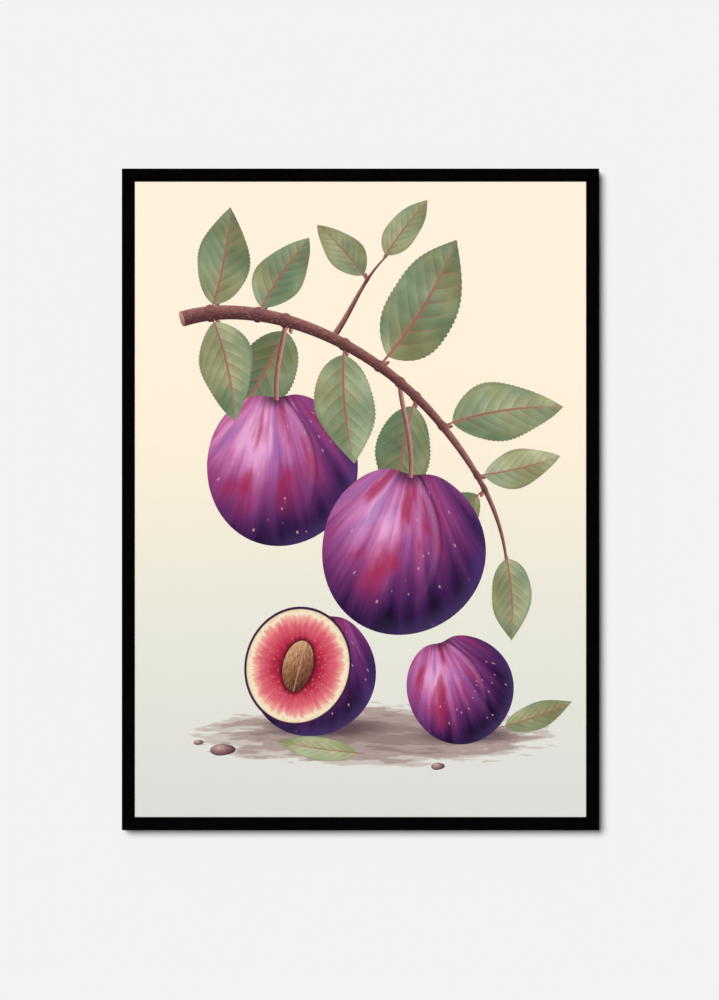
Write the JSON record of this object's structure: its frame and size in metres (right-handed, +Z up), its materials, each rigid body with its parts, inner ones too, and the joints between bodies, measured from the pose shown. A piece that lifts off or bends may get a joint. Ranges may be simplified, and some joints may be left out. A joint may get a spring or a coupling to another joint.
{
  "type": "framed art print",
  "caption": "Slim black wooden frame with a glazed paper print, a back board held by swivelling turn buttons, and sawtooth hangers for a wall nail.",
  "frame": {"origin": "the middle notch of the sawtooth hanger at the top of the back, at the middle of its steel, where the wall's nail carries the frame", "axes": "+Z up, -Y out of the picture towards the viewer, +Y into the wall, +X to the viewer's right"},
  "size_m": [0.518, 0.0186, 0.718],
  "materials": {
    "black_wood": "solid wood moulding in satin black lacquer, with a faint grain",
    "glazing": "clear acrylic sheet, 1.25 mm",
    "print_paper": "matt art paper with a printed watercolour design",
    "filler_card": "plain corrugated card",
    "back_board": "plain thin hardboard",
    "zinc_steel": "zinc plated pressed steel",
    "bumper_rubber": "soft black rubber"
  },
  "bodies": {
    "frame": {"frame_rail_top": "black_wood", "frame_rail_bottom": "black_wood", "frame_rail_left": "black_wood", "frame_rail_right": "black_wood", "glazing": "glazing", "print_sheet": "print_paper", "filler_card": "filler_card", "back_board": "back_board", "v_nail_top_left": "zinc_steel", "v_nail_top_right": "zinc_steel", "v_nail_bottom_left": "zinc_steel", "v_nail_bottom_right": "zinc_steel", "button_screw_top_left": "zinc_steel", "button_screw_top_right": "zinc_steel", "button_screw_bottom_left": "zinc_steel", "button_screw_bottom_right": "zinc_steel", "button_screw_left_upper": "zinc_steel", "button_screw_left_lower": "zinc_steel", "button_screw_right_upper": "zinc_steel", "button_screw_right_lower": "zinc_steel", "hanger_top": "zinc_steel", "hanger_right": "zinc_steel", "hanger_nail_top_left": "zinc_steel", "hanger_nail_top_right": "zinc_steel", "hanger_nail_right_upper": "zinc_steel", "hanger_nail_right_lower": "zinc_steel", "bumper_top_left": "bumper_rubber", "bumper_top_right": "bumper_rubber", "bumper_bottom_left": "bumper_rubber", "bumper_bottom_right": "bumper_rubber"},
    "button_top_left": {"turn_button_top_left": "zinc_steel"},
    "button_top_right": {"turn_button_top_right": "zinc_steel"},
    "button_right_upper": {"turn_button_right_upper": "zinc_steel"},
    "button_right_lower": {"turn_button_right_lower": "zinc_steel"},
    "button_bottom_right": {"turn_button_bottom_right": "zinc_steel"},
    "button_bottom_left": {"turn_button_bottom_left": "zinc_steel"},
    "button_left_lower": {"turn_button_left_lower": "zinc_steel"},
    "button_left_upper": {"turn_button_left_upper": "zinc_steel"}
  },
  "joints": [
    {"name": "swivel_top_left", "type": "hinge", "parent": "frame", "child": "button_top_left", "pos_m": [-0.15, -0.001, 0.002], "axis": [0, 1, 0], "continuous": true},
    {"name": "swivel_top_right", "type": "hinge", "parent": "frame", "child": "button_top_right", "pos_m": [0.15, -0.001, 0.002], "axis": [0, 1, 0], "continuous": true},
    {"name": "swivel_right_upper", "type": "hinge", "parent": "frame", "child": "button_right_upper", "pos_m": [0.25475, -0.001, -0.15275], "axis": [0, 1, 0], "continuous": true},
    {"name": "swivel_right_lower", "type": "hinge", "parent": "frame", "child": "button_right_lower", "pos_m": [0.25475, -0.001, -0.55275], "axis": [0, 1, 0], "continuous": true},
    {"name": "swivel_bottom_right", "type": "hinge", "parent": "frame", "child": "button_bottom_right", "pos_m": [0.15, -0.001, -0.7075], "axis": [0, 1, 0], "continuous": true},
    {"name": "swivel_bottom_left", "type": "hinge", "parent": "frame", "child": "button_bottom_left", "pos_m": [-0.15, -0.001, -0.7075], "axis": [0, 1, 0], "continuous": true},
    {"name": "swivel_left_lower", "type": "hinge", "parent": "frame", "child": "button_left_lower", "pos_m": [-0.25475, -0.001, -0.55275], "axis": [0, 1, 0], "continuous": true},
    {"name": "swivel_left_upper", "type": "hinge", "parent": "frame", "child": "button_left_upper", "pos_m": [-0.25475, -0.001, -0.15275], "axis": [0, 1, 0], "continuous": true}
  ]
}
